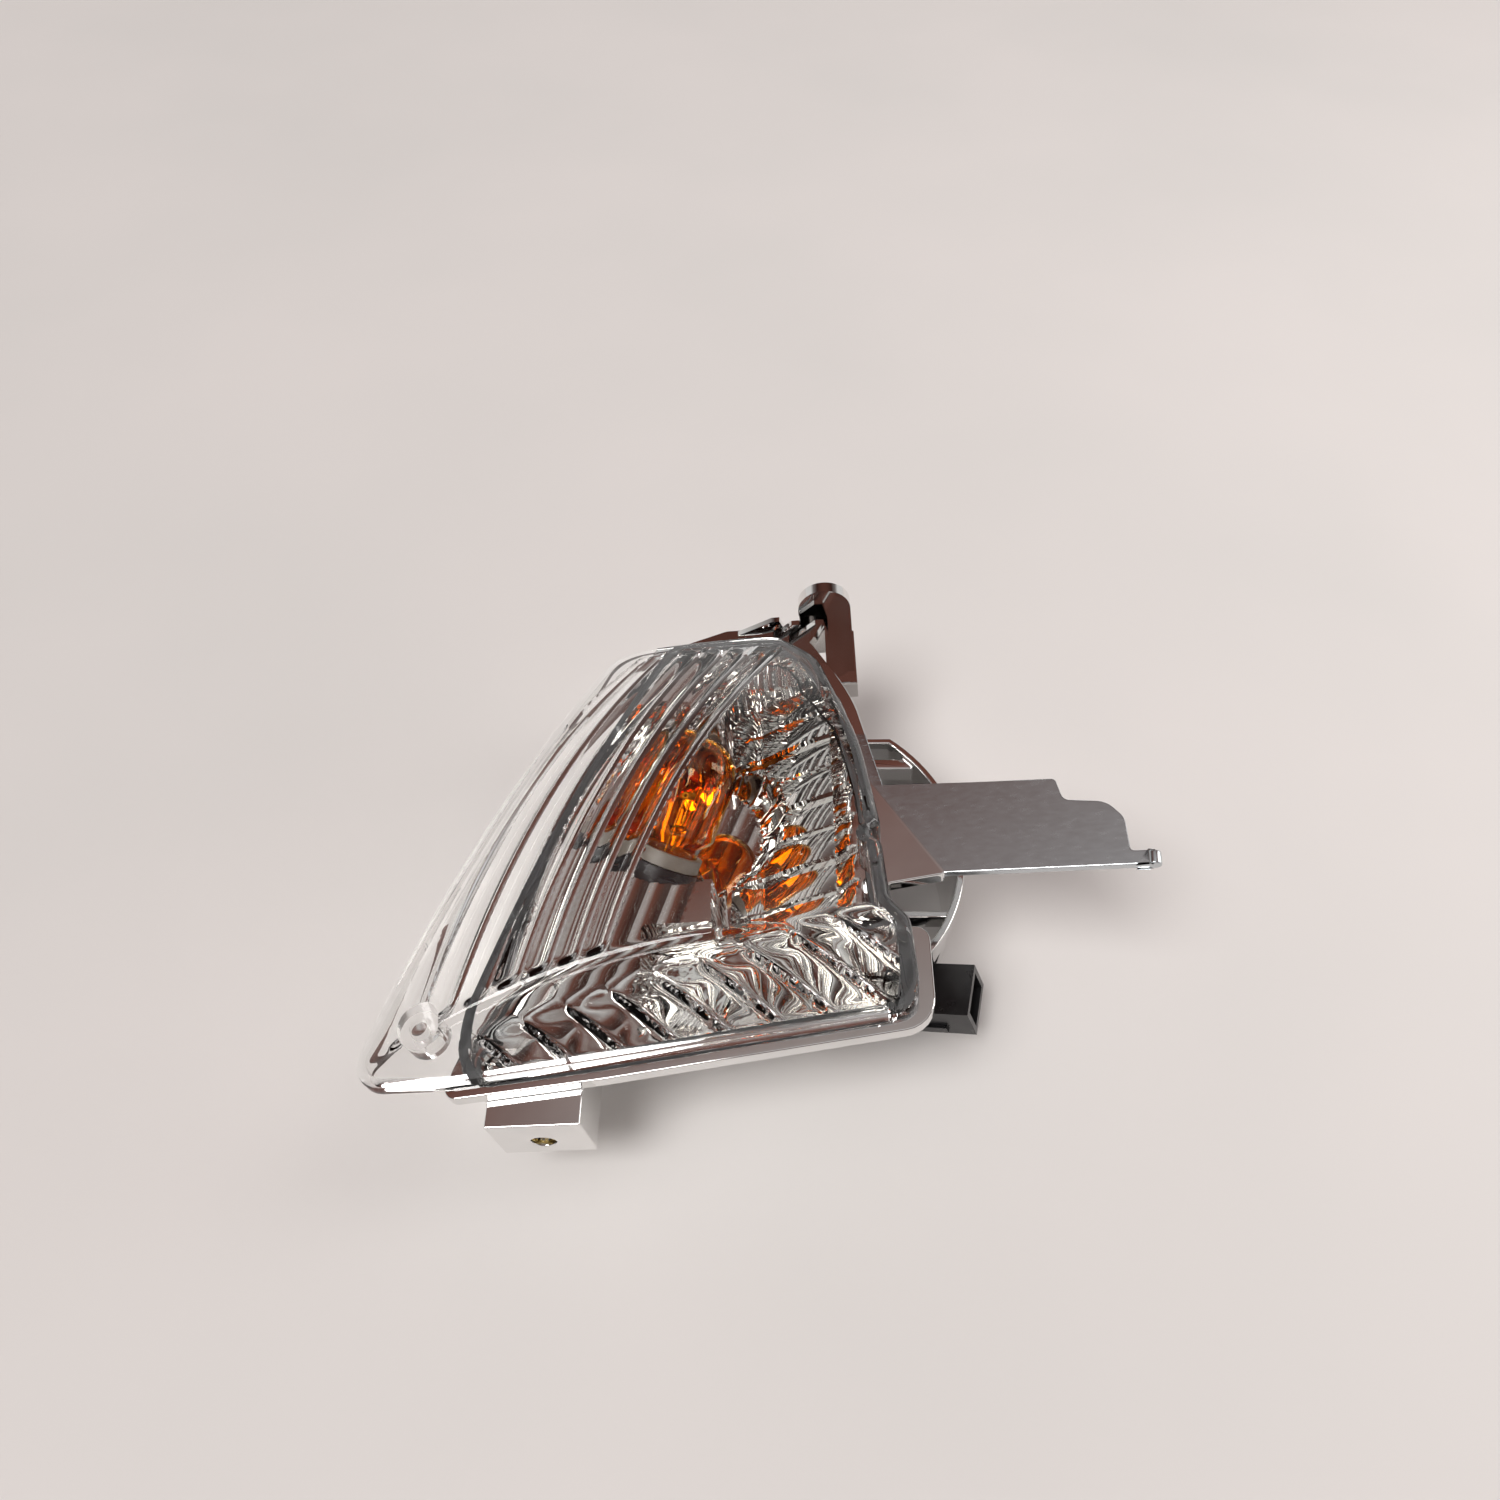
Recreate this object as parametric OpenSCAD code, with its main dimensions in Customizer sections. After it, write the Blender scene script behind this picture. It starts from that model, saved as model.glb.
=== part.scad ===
// Flush-fitting front turn signal lamp for a motorcycle fairing: clear lens, metallised
// housing with a stepped reflector, amber wedge bulb in a quarter-turn socket, and a two-way plug.

/* [Rim plane] */
// Height of the housing's rim above the surface that the lamp lies on, at the origin
rim_height = 40.4; // [38:0.2:44]
// Tilt of the rim plane, rising towards the side plate, in degrees
rim_tilt = 6.8; // [4:0.2:9]

/* [Lens] */
// Thickness of the clear lens
lens_wall = 2.4; // [2:0.1:3]
// Radius of the lens's crowned face
crown_radius = 245; // [220:5:280]
// Height of the crown's top above the rim plane
crown_height = 17; // [15:0.5:19]
// Slope of the lower band, which the short pillow flutes cross
band_slope = 40; // [34:1:46]
// Number of long flutes on the big face
long_flutes = 7; // [4:1:9]
// Number of pillow flutes on the lower band
pillow_flutes = 6; // [3:1:8]
// Height of the flutes inside the lens
flute_height = 1.1; // [0.6:0.1:1.6]

/* [Housing] */
// Thickness of the housing's walls
shell_wall = 2; // [1.6:0.1:2.4]
// Thickness of the rim flange
flange_thick = 3.4; // [3:0.1:4]
// Depth of the housing below the rim plane
tray_depth = 30; // [29:0.5:31]
// Radius of the wall that shields the back on the side plate's side
hood_radius = 42; // [41:0.5:43]
// Thickness of the side plate
plate_thick = 2.2; // [1.8:0.1:2.6]
// Angle of the side plate above the rim plane, in degrees
plate_angle = 12; // [8:1:16]

/* [Bulb and socket] */
// Compass direction that the bulb points in, from the X axis, in degrees
bulb_azimuth = 64; // [62:1:66]
// Angle of the bulb above level, in degrees
bulb_elevation = 36; // [35:1:37]
// Radius of the bulb's glass
glass_r = 9.5; // [8.5:0.1:9.8]
// Radius of the socket's hole in the housing
socket_hole_r = 9.6; // [9.4:0.1:9.8]
// Quarter-turn of the socket from locked to free, in degrees
socket_turn = 45; // [40:1:50]

/* [Plug] */
// Width of the plug shell across its two blades
plug_w = 12.6; // [12:0.1:13]
// Height of the plug shell
plug_h = 9.2; // [9:0.1:9.6]
// Length of the plug shell
plug_l = 24; // [23:0.5:25]
// Distance between the two blades
blade_pitch = 4.8; // [4.4:0.1:5]

/* [Hidden] */
$fn = 64;
eps = 0.01;
far = 200;
// The middle of the whole lamp's outline goes to X 0, Y 0.
centre = [2.305, -20.45];

// Corners of each outline in the rim plane, as [x, y, corner radius], anticlockwise.
lens_corners = [[-82.2, -77, 5.5], [-60, -76.9, 90], [34.6, -65.8, 6], [33.2, -50.5, 4],
                [29.7, -46.5, 4], [28.8, -33, 1.5], [26.2, -30.6, 1.2], [28.9, -28, 1.5],
                [25.8, -4, 90], [17, 27, 16], [7, 37.3, 10], [-34, 35.5, 13]];
flange_corners = [[-62.6, -79, 2.5], [-29.8, -76, 90], [37, -68, 7], [37.4, -46, 3.5],
                  [30.4, -46, 0.8], [29.6, -35.6, 0.8], [42, -34, 0.6], [31.2, -14, 1],
                  [25, 17, 50], [14.5, 37, 9], [3, 41.2, 4], [-6, 41.5, 4], [-23.4, 35.6, 3]];
tray_corners = [[-59.8, -76.6, 4], [-29.8, -73.8, 90], [32.8, -65.6, 7], [32.6, -48, 3],
                [29, -45, 2.5], [27.8, -34, 2], [26.4, -12, 40], [21.5, 14, 40], [11, 35, 9],
                [-18, 36.8, 5]];
// The line where the lens's inner rib meets the housing's left edge, as rim-plane corners.
seal_corners = [[-58.6, -75.2, 4], [-29.8, -72.4, 90], [31.6, -64.6, 5.5], [31.2, -50.6, 3],
                [27.6, -46, 3.5], [26.7, -33.6, 1.5], [25.6, -12, 60], [21, 14, 40], [12, 33, 9],
                [-19, 34.8, 5]];
groove_depth = 2;
seal_thick = 0.8;
seal_wide = 3.2;

// Crown of the lens: the sphere's centre in the rim plane, and the lower band's foot line.
crown_at = [-8, -45];
band_foot = [[-82.2, -78.6], [34.6, -67.4]];
band_start = 2.2;

// Lower wall of the housing: a point under the rim that its slope passes, its turn and its lean.
slope_at = [0, -70, -5];
slope_turn = 6.7;
slope_lean = 41;

// Reflector
reflector_wall = 1.7;
bowl_r = 24;
bowl_along = 22;
reflector_floor = -25.6;
shelf_depth = 5;
step_count = 8;
step_pitch = 8.6;
step_first_y = -40;
step_left_x = 1;
step_right_x = 26;
screw_places = [[10, -36], [8, 22], [-14, 27]];
screw_r = 1.45;

// Bulb and socket, measured along the bulb's own axis from the housing's seat.
seat = [-22.7, -22.2, 17.7];
seat_wall = 2.4;
pocket_r = 13;
pocket_wall = 1.8;
gasket_thick = 1.6;
flange_r = 12.4;
socket_back = -12;
neck_r = 8.6;
neck_front = 6.4;
lug_reach = 11.6;
lug_thick = 2;
lug_gap = 0.3;
lug_angles = [90, 210, 330];
lug_arc = 26;
wedge_w = 12;
wedge_t = 4.6;
wedge_back = -2;
wedge_gap = 0.3;
base_front = 10;
glass_tip = 38;
glass_wall = 0.9;
chimney_r = 3.1;
contact_w = 3;
contact_t = 0.4;
contact_off = 3.2;

// Plug: the mouth's centre and the direction out of the mouth.
plug_mouth = [51, -49.5, 16];
plug_pitch = -22;
plug_yaw = -14;
plug_wall = 1.4;
blade_w = 1.8;
blade_t = 0.6;

// Route of the two leads, from the socket's back to the plug's back.
bulb_dir = [cos(bulb_elevation) * cos(bulb_azimuth), cos(bulb_elevation) * sin(bulb_azimuth), sin(bulb_elevation)];
plug_dir = [cos(plug_pitch) * cos(plug_yaw), cos(plug_pitch) * sin(plug_yaw), -sin(plug_pitch)];
lead_route = [seat - 9 * bulb_dir, seat - 13 * bulb_dir, [-30.2, -34.6, 7.6], [-31.4, -38.6, 5.2],
              [-29.6, -42.4, 4.1], [-24, -44.4, 3.9], [-16, -44.9, 3.9], [-6, -45, 4], [6, -44.6, 4.4],
              [16, -43.6, 4.7], plug_mouth - (plug_l + 5) * plug_dir, plug_mouth - (plug_l + 1) * plug_dir,
              plug_mouth - (plug_l - 7) * plug_dir];
lead_r = 0.85;
lead_apart = 1.05;
sleeve_r = 2.5;
sleeve_bore = 2.05;

// Points of an arc that rounds the corner b between a and c with radius r.
function unit(v) = v / norm(v);
function left_of(v) = [-v[1], v[0]];
function rounded(list, steps = 6) =
    [for (i = [0 : len(list) - 1])
        let (n = len(list), b = [list[i][0], list[i][1]],
             a = [list[(i + n - 1) % n][0], list[(i + n - 1) % n][1]],
             c = [list[(i + 1) % n][0], list[(i + 1) % n][1]],
             p = unit(a - b), q = unit(c - b), half = acos(p * q) / 2,
             reach = min(list[i][2] / tan(half), 0.45 * norm(a - b), 0.45 * norm(c - b)),
             r = reach * tan(half), mid = b + unit(p + q) * r / sin(half),
             start = b + p * reach, end = b + q * reach,
             turn = cross(unit(start - mid), unit(end - mid)) > 0 ? 1 : -1)
        for (k = [0 : steps])
            let (a0 = atan2(start[1] - mid[1], start[0] - mid[0]),
                 w = turn * (180 - 2 * half) * k / steps)
            mid + r * [cos(a0 + w), sin(a0 + w)]];

// The same corners moved inwards by d, with their radii to match.
function inset(list, d) =
    [for (i = [0 : len(list) - 1])
        let (n = len(list), b = [list[i][0], list[i][1]],
             a = [list[(i + n - 1) % n][0], list[(i + n - 1) % n][1]],
             c = [list[(i + 1) % n][0], list[(i + 1) % n][1]],
             p = unit(b - a), q = unit(c - b),
             inner = b + d * (left_of(p) + left_of(q)) / (1 + p * q))
        [inner[0], inner[1], max(0.4, list[i][2] + (cross(p, q) > 0 ? -d : d))]];

// Rings of a tube along a route, and the polyhedron that they make.
function route_dir(r, i) = unit(r[min(i + 1, len(r) - 1)] - r[max(i - 1, 0)]);
function smooth(r) =
    [for (i = [0 : len(r) - 2]) let (a = r[max(i - 1, 0)], b = r[i], c = r[i + 1],
                                     d = r[min(i + 2, len(r) - 1)])
        for (k = [0 : 2]) let (t = k / 3)
            0.5 * (2 * b + (c - a) * t + (2 * a - 5 * b + 4 * c - d) * t * t
                   + (3 * b - a - 3 * c + d) * t * t * t),
     r[len(r) - 1]];
function route_side(r, i) = unit(cross(route_dir(r, i), [0, 0, 1]));

// Points of one ring at each point of a route, and the walls between the rings.
function rings(r, radius, sides) =
    [for (i = [0 : len(r) - 1]) let (s = route_side(r, i), u = cross(s, route_dir(r, i)))
        for (k = [0 : sides - 1])
            r[i] + s * radius * cos(360 * k / sides) + u * radius * sin(360 * k / sides)];
function walls(n, sides, first, out) =
    [for (i = [0 : n - 2], k = [0 : sides - 1])
        let (a = first + i * sides + k, b = first + i * sides + (k + 1) % sides)
        out ? [a, b, b + sides, a + sides] : [a, a + sides, b + sides, b]];

module tube_along(r, radius, sides = 8) {
    n = len(r);
    polyhedron(rings(r, radius, sides),
               concat([[for (k = [sides - 1 : -1 : 0]) k]], walls(n, sides, 0, true),
                      [[for (k = [0 : sides - 1]) (n - 1) * sides + k]]), convexity = 8);
}

module hose_along(r, radius, bore, sides = 12) {
    n = len(r);
    inner = n * sides;
    last = (n - 1) * sides;
    ends = [for (k = [0 : sides - 1]) let (m = (k + 1) % sides)
        each [[m, k, inner + k, inner + m],
              [last + k, last + m, last + inner + m, last + inner + k]]];
    polyhedron(concat(rings(r, radius, sides), rings(r, bore, sides)),
               concat(walls(n, sides, 0, true), walls(n, sides, inner, false), ends), convexity = 8);
}

// Frames: the whole lamp, the rim plane, the bulb's axis, the plug and the side plate.
module placed() {
    translate([-centre[0], -centre[1], 0])
        children();
}

module in_rim() {
    translate([0, 0, rim_height])
        rotate([0, -rim_tilt, 0])
            children();
}

module on_bulb_axis() {
    translate(seat)
        rotate([0, 90 - bulb_elevation, bulb_azimuth])
            children();
}

module at_plug() {
    translate(plug_mouth)
        rotate([0, plug_pitch, plug_yaw])
            children();
}

module prism(corners, low, high) {
    translate([0, 0, low])
        linear_extrude(high - low, convexity = 6)
            polygon(rounded(corners));
}

// Everything inside the housing's leaning lower wall, pulled in by depth d.
module inside_slope(d) {
    translate(slope_at)
        rotate([0, 0, slope_turn])
            rotate([slope_lean, 0, 0])
                translate([-far, d, -far])
                    cube([2 * far, 2 * far, 2 * far]);
}

module ring_prism(corners, wide, low, high) {
    difference() {
        prism(inset(corners, -wide / 2), low, high);
        prism(inset(corners, wide / 2), low - 1, high + 1);
    }
}

module along_axis(r, from, to) {
    translate([0, 0, from])
        cylinder(r = r, h = to - from);
}

// ---------------------------------------------------------------- lens
// Everything under the lens's face, pulled in by depth d.
module under_lens_face(d) {
    foot_dir = atan2(band_foot[1][1] - band_foot[0][1], band_foot[1][0] - band_foot[0][0]);
    intersection() {
        translate([crown_at[0], crown_at[1], crown_height - crown_radius])
            sphere(r = crown_radius - d, $fn = 180);
        translate([band_foot[0][0], band_foot[0][1], band_start])
            rotate([0, 0, foot_dir])
                rotate([band_slope, 0, 0])
                    translate([-far / 2, -far / 2, -far - d])
                        cube([2 * far, 2 * far, far]);
        translate([-far / 2, -far / 2, -far / 2])
            cube([far, far, far]);
    }
}

// One flute's centre line across the big face, w from 0 at the left edge to 1 at the last flute.
function flute_line(w) =
    let (foot = [-70 + 43 * w, -58 - 8 * sin(180 * w) + 1.5 * w], top = [-33 + 40 * w, 24 + 8 * sin(150 * w)],
         bow = [-56 + 39 * w, -10 - 2 * w])
    [for (k = [0 : 10]) let (t = k / 10)
        (1 - t) * (1 - t) * foot + 2 * t * (1 - t) * bow + t * t * top];

// A strip of constant width along a line in the rim plane.
function strip(line, wide) =
    let (n = len(line), side = [for (i = [0 : n - 1])
        left_of(unit(line[min(i + 1, n - 1)] - line[max(i - 1, 0)])) * wide / 2])
    concat([for (i = [0 : n - 1]) line[i] - side[i]], [for (i = [n - 1 : -1 : 0]) line[i] + side[i]]);

module flute_plan() {
    for (i = [1 : long_flutes])
        polygon(strip(flute_line(i / long_flutes), 2.6));
    for (i = [0 : pillow_flutes - 1])
        translate([-48 + 11 * i, -62 + 1.1 * i])
            rotate(-52)
                translate([-6, -1.1])
                    square([14, 2.2]);
}

module lens() {
    color("white", 0.35)
        placed()
            in_rim()
                lens_body();
}

module lens_body() {
    // Clear boss under the tip that takes a locating pin of the fairing.
    difference() {
        union() {
            difference() {
                intersection() {
                    prism(lens_corners, 0, 40);
                    under_lens_face(0);
                }
                intersection() {
                    prism(inset(lens_corners, lens_wall), -1, 40);
                    under_lens_face(lens_wall);
                }
            }
            intersection() {
                union() {
                    ring_prism(seal_corners, 2, -groove_depth + seal_thick, 40);
                    translate([-66, -65.5, 0])
                        cylinder(r = 4.6, h = 40);
                }
                under_lens_face(lens_wall - 0.4);
            }
            intersection() {
                linear_extrude(40, convexity = 8)
                    flute_plan();
                prism(inset(lens_corners, lens_wall - 0.2), 0, 40);
                difference() {
                    under_lens_face(lens_wall - 0.2);
                    under_lens_face(lens_wall + flute_height);
                }
            }
        }
        translate([-66, -65.5, -1])
            cylinder(r = 2.1, h = 5.2);
    }
}

module lens_seal() {
    color("dimgray")
        placed()
            in_rim()
                ring_prism(seal_corners, seal_wide, -groove_depth, -groove_depth + seal_thick);
}

// ---------------------------------------------------------------- housing
module housing() {
    color("silver")
        placed()
            housing_body();
}

module housing_body() {
    difference() {
        union() {
            in_rim() {
                prism(flange_corners, -flange_thick, 0);
                intersection() {
                    prism(tray_corners, -tray_depth, -flange_thick + eps);
                    inside_slope(0);
                }
                side_plate();
                top_tab();
            }
            hood();
            socket_pocket();
            lower_tab();
            plug_rail();
            in_rim()
                translate([-4, 8, -tray_depth - 4])
                    cylinder(r = 2.6, h = 5);
        }
        in_rim() {
            difference() {
                intersection() {
                    prism(inset(tray_corners, shell_wall), -tray_depth + shell_wall, 1);
                    inside_slope(shell_wall);
                }
                in_tray_pocket();
            }
            ring_prism(seal_corners, seal_wide, -groove_depth, 1);
            translate([-4, 8, -tray_depth - 5])
                cylinder(r = 1.2, h = 12);
            for (p = screw_places)
                translate([p[0], p[1], -tray_depth - 1])
                    cylinder(r = 1.7, h = 4);
        }
        on_bulb_axis() {
            along_axis(pocket_r, -60, 0);
            along_axis(socket_hole_r, -1, seat_wall + 1);
            for (a = lug_angles)
                lug_sector(a - socket_turn, socket_hole_r - 1, lug_reach + 0.4, lug_arc + 4,
                           -1, seat_wall + 1);
        }
        lead_gate();
        below_ground();
    }
}

// The pocket's outer wall, in the rim frame, kept when the tray is hollowed.
module in_tray_pocket() {
    rotate([0, rim_tilt, 0])
        translate([0, 0, -rim_height])
            on_bulb_axis()
                along_axis(pocket_r + pocket_wall, -60, seat_wall);
}

module below_ground() {
    translate([-far, -far, -far])
        cube([2 * far, 2 * far, far]);
}

module socket_pocket() {
    intersection() {
        on_bulb_axis()
            along_axis(pocket_r + pocket_wall, -60, seat_wall);
        in_rim()
            inside_slope(0);
    }
    on_bulb_axis()
        lug_sector(lug_angles[0] + lug_arc / 2 + 5.6, socket_hole_r + 0.6, lug_reach, 8,
                   seat_wall - eps, seat_wall + 2.2);
}

module lug_sector(angle, r0, r1, arc, from, to) {
    translate([0, 0, from])
        rotate([0, 0, angle - arc / 2])
            rotate_extrude(angle = arc)
                translate([r0, 0])
                    square([r1 - r0, to - from]);
}

module lead_gate() {
    translate([-34, -47.5, -1])
        cube([22, 9, 8]);
}

// Curved wall that shields the back, open above and below, with two cross ribs.
module hood() {
    hood_at = [8, -17];
    difference() {
        hood_wall(hood_at);
        at_plug()
            translate([-plug_l - 4, -plug_w / 2 - 2, -plug_h / 2 - 30])
                cube([plug_l + 30, plug_w + 4, plug_h + 31.5]);
    }
}

module hood_wall(hood_at) {
    intersection() {
        union() {
            difference() {
                translate([hood_at[0], hood_at[1], 0])
                    cylinder(r = hood_radius, h = 29, $fn = 120);
                translate([hood_at[0], hood_at[1], -1])
                    cylinder(r = hood_radius - 1.6, h = 31, $fn = 120);
            }
            translate([20, 13.4, 0])
                cube([30, 1.6, 29]);
            translate([28, -49.4, 12])
                cube([30, 1.6, 17]);
            translate([24, 7, 22])
                cube([30, 3, 5]);
            translate([26, -33.4, 20])
                cube([30, 1.6, 5]);
        }
        translate([hood_at[0], hood_at[1], -1])
            cylinder(r = hood_radius, h = 31, $fn = 120);
        translate([21, -49.4, -1])
            cube([40, 64.4, 31]);
    }
}

// Side plate, drawn with its upper edge along X, then turned to rise from the flange's fold line.
plate_corners = [[-1, 0, 0.3], [40.6, 0, 1.2], [42.2, 5.2, 2], [51, 6, 5], [54.4, 9.9, 4], [55.2, 17.5, 0.8],
                 [59.6, 17.5, 0.4], [59.6, 20.7, 0.4], [16.4, 21.6, 0.3], [-1, -1.3, 0.3]];
fold_at = [27.9, -10];
fold_turn = -60;

module side_plate() {
    top_edge_turn = 52.6;
    translate([fold_at[0], fold_at[1], -plate_thick])
        rotate([0, 0, fold_turn])
            rotate([plate_angle, 0, 0])
                rotate([0, 0, top_edge_turn])
                    mirror([0, 1, 0]) {
                        linear_extrude(plate_thick)
                            polygon(rounded(plate_corners, 4));
                        translate([59.6, 17.7, plate_thick / 2])
                            rotate([-90, 0, 0])
                                cylinder(r = 1.5, h = 3, $fn = 32);
                    }
}

// Upright locating tab with its foot, and three short fins beside it.
module top_tab() {
    translate([13, 39.6, -9])
        cube([13, 3, 16]);
    translate([19.5, 42.6, 7])
        rotate([90, 0, 0])
            cylinder(r = 6.5, h = 3);
    translate([13, 30, -9])
        cube([2, 11, 7]);
    translate([19, 24, -9])
        cube([7.4, 17, 6]);
    translate([23.4, 36, -9])
        cube([2.6, 4, 16]);
    fin(-3, 40.6, 12, 4.6);
    fin(6, 38.8, 8, 4.8);
    fin(10, 36.9, 10, 6.4);
}

module fin(x, y, long, high) {
    translate([x, y, -flange_thick])
        rotate([90, 0, 0])
            linear_extrude(1.5)
                polygon([[0, 0], [long, 0], [long, 1.6 + flange_thick], [long - 1, high + flange_thick],
                         [long - 3, high + flange_thick], [0, flange_thick + 0.6]]);
}

// Hollow box tab on the lower wall, with a hole for the fixing screw in its outer face.
module lower_tab() {
    in_rim()
        translate([-53.5, -83.5, -19])
            difference() {
                cube([19.5, 18, 19 - flange_thick + eps]);
                translate([2, 2, -1])
                    cube([15.5, 16.5, 14.5]);
                translate([9.75, -1, 6])
                    rotate([-90, 0, 0])
                        cylinder(r = 2.6, h = 4);
            }
}

// Short rail on the housing's back that the plug shell clips on to.
module plug_rail() {
    at_plug()
        translate([-22, -2.5, plug_h / 2 - eps])
            cube([9, 5, 6]);
}

// ---------------------------------------------------------------- reflector
// The hollow in front of the reflector's skin, grown by g.
module reflector_hollow(g) {
    translate([-far / 2, -far / 2, -shelf_depth - g])
        cube([far, far, far]);
    intersection() {
        rotate([0, rim_tilt, 0])
            translate([0, 0, -rim_height])
                on_bulb_axis()
                    translate([0, 0, bowl_along])
                        sphere(r = bowl_r + g, $fn = 96);
        translate([-far / 2, -far / 2, reflector_floor - g])
            cube([far, far, far]);
    }
    for (i = [0 : step_count - 1])
        step_hollow(i, g);
    lower_fan(g);
}

module step_hollow(i, g) {
    y = step_first_y + i * step_pitch;
    drop = i % 2 == 0 ? 0 : 1.1;
    translate([0, y + step_pitch + g, 0])
        rotate([90, 0, 0])
            linear_extrude(step_pitch + 2 * g)
                polygon([[-8 - g, 2], [step_right_x + g, 2], [step_right_x + g, -2.2 - drop],
                         [step_left_x + g, -18 - drop - g], [step_left_x + g, reflector_floor - g],
                         [-8 - g, reflector_floor - g]]);
}

module lower_fan(g) {
    translate([-22 - g, 0, 0])
        rotate([90, 0, 90])
            linear_extrude(60)
                polygon([[-66 - g, 2], [-38, 2], [-38, reflector_floor - g], [-42 - g, reflector_floor - g],
                         [-66 - g, -4 - g]]);
}

module reflector() {
    color("gainsboro")
        placed()
            reflector_body();
}

module reflector_body() {
    difference() {
        in_rim()
            intersection() {
                prism(inset(tray_corners, shell_wall + 0.2), -tray_depth + shell_wall + 0.2, -groove_depth - 0.2);
                inside_slope(shell_wall + 0.2);
                difference() {
                    union() {
                        reflector_hollow(reflector_wall);
                        for (p = screw_places)
                            translate([p[0], p[1], -tray_depth])
                                cylinder(r = 2.8, h = tray_depth - shelf_depth - 0.6);
                    }
                    reflector_hollow(0);
                }
            }
        in_rim()
            for (p = screw_places)
                translate([p[0], p[1], -tray_depth - 1])
                    cylinder(r = screw_r - 0.25, h = 11);
        on_bulb_axis() {
            along_axis(pocket_r + pocket_wall + 0.2, -60, seat_wall + 0.3);
            along_axis(lug_reach + 0.5, 0, seat_wall + 3.4);
        }
    }
}

module reflector_screws() {
    color("lightgray")
        placed()
            in_rim()
                for (p = screw_places)
                    translate([p[0], p[1], -tray_depth]) {
                        difference() {
                            translate([0, 0, -1.8])
                                cylinder(r = 3, h = 1.8);
                            translate([-2, -0.4, -2.4])
                                cube([4, 0.8, 1.4]);
                            translate([-0.4, -2, -2.4])
                                cube([0.8, 4, 1.4]);
                        }
                        cylinder(r = screw_r, h = 9);
                    }
}

module breather_cap() {
    color("black")
        placed()
            in_rim()
                translate([-4, 8, -tray_depth - 5.4])
                    difference() {
                        cylinder(r = 4.2, h = 5.2);
                        translate([0, 0, 1.4])
                            cylinder(r = 2.6, h = 5);
                        for (a = [0, 90])
                            rotate([0, 0, a])
                                translate([-5, -0.6, 3.6])
                                    cube([10, 1.2, 3]);
                    }
}

// Folded spring-steel nut that slides over the lower tab's outer wall.
module clip_nut() {
    color("goldenrod")
        placed()
            in_rim()
                translate([-43.75, -83.5, -13])
                    difference() {
                        translate([-5, 2, -5.8])
                            cube([10, 0.9, 11]);
                        translate([0, -1, 0])
                            rotate([-90, 0, 0])
                                cylinder(r = 2.1, h = 5);
                    }
}

// ---------------------------------------------------------------- socket
module socket_body() {
    color([0.08, 0.08, 0.09])
        placed()
            on_bulb_axis()
                difference() {
                    union() {
                        along_axis(flange_r, -gasket_thick - 2, -gasket_thick);
                        along_axis(neck_r, -gasket_thick - 1, neck_front);
                        along_axis(10, socket_back + 2, -gasket_thick - 1);
                        along_axis(5, socket_back, -gasket_thick - 1);
                        for (a = lug_angles)
                            lug_sector(a, neck_r - 0.6, lug_reach, lug_arc, seat_wall + lug_gap,
                                       seat_wall + lug_gap + lug_thick);
                        grip_wings();
                    }
                    translate([-wedge_w / 2 - wedge_gap, -wedge_t / 2 - wedge_gap, wedge_back - 0.5])
                        cube([wedge_w + 2 * wedge_gap, wedge_t + 2 * wedge_gap, 20]);
                    contact_slots();
                    along_axis(chimney_r, socket_back - 1, socket_back + 5.4);
                }
}

module grip_wings() {
    for (a = [0, 180])
        rotate([0, 0, a])
            translate([8, -1.5, socket_back + 2])
                cube([4.6, 3, 7.4]);
}

module contact_slots() {
    for (side = [-1, 1])
        translate([side * contact_off - contact_w / 2 - 0.1, -wedge_t / 2 - 1.6, wedge_back - 4])
            cube([contact_w + 0.2, wedge_t + 3.2, neck_front - wedge_back + 5]);
}

module contact(side) {
    color("goldenrod")
        placed()
            on_bulb_axis()
                translate([side * contact_off - contact_w / 2, 0, 0]) {
                    for (face = [-1, 1])
                        translate([0, face * (wedge_t / 2 + 1.2) - contact_t / 2, wedge_back - 3.9])
                            cube([contact_w, contact_t, 9.2]);
                    translate([0, -wedge_t / 2 - 1.2 - contact_t / 2, wedge_back - 3.9])
                        cube([contact_w, wedge_t + 2.4 + contact_t, contact_t]);
                }
}

module contact_live() {
    contact(-1);
}

module contact_earth() {
    contact(1);
}

module socket_gasket() {
    color("black")
        placed()
            on_bulb_axis()
                difference() {
                    along_axis(flange_r - 0.3, -gasket_thick, 0);
                    along_axis(neck_r, -gasket_thick - 1, 1);
                }
}

// ---------------------------------------------------------------- bulb
module glass_profile(g) {
    body = glass_r - g;
    translate([0, base_front - 2.2])
        square([glass_r - 2.4 - g, 6]);
    translate([0, base_front + 2 + g])
        square([body, glass_tip - glass_r - base_front - 2 - g]);
    translate([0, glass_tip - glass_r])
        intersection() {
            circle(r = body);
            square([glass_r, glass_r]);
        }
}

module bulb_glass() {
    color([1, 0.45, 0.02], 0.5)
        placed()
            on_bulb_axis()
                rotate_extrude()
                    difference() {
                        intersection() {
                            glass_profile(0);
                            square([glass_r + 1, glass_tip + 1]);
                        }
                        difference() {
                            glass_profile(glass_wall);
                            square([2 * glass_r, 2 * (base_front - 1)], center = true);
                        }
                    }
}

module bulb_base() {
    color([0.12, 0.1, 0.09])
        placed()
            on_bulb_axis()
                difference() {
                    union() {
                        along_axis(8.4, neck_front + 0.3, base_front);
                        translate([-wedge_w / 2, -wedge_t / 2, wedge_back])
                            cube([wedge_w, wedge_t, neck_front + 1 - wedge_back]);
                    }
                    along_axis(glass_r - 2.4, base_front - 2.2, base_front + 1);
                    tail_wires(0.02);
                }
}

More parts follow.
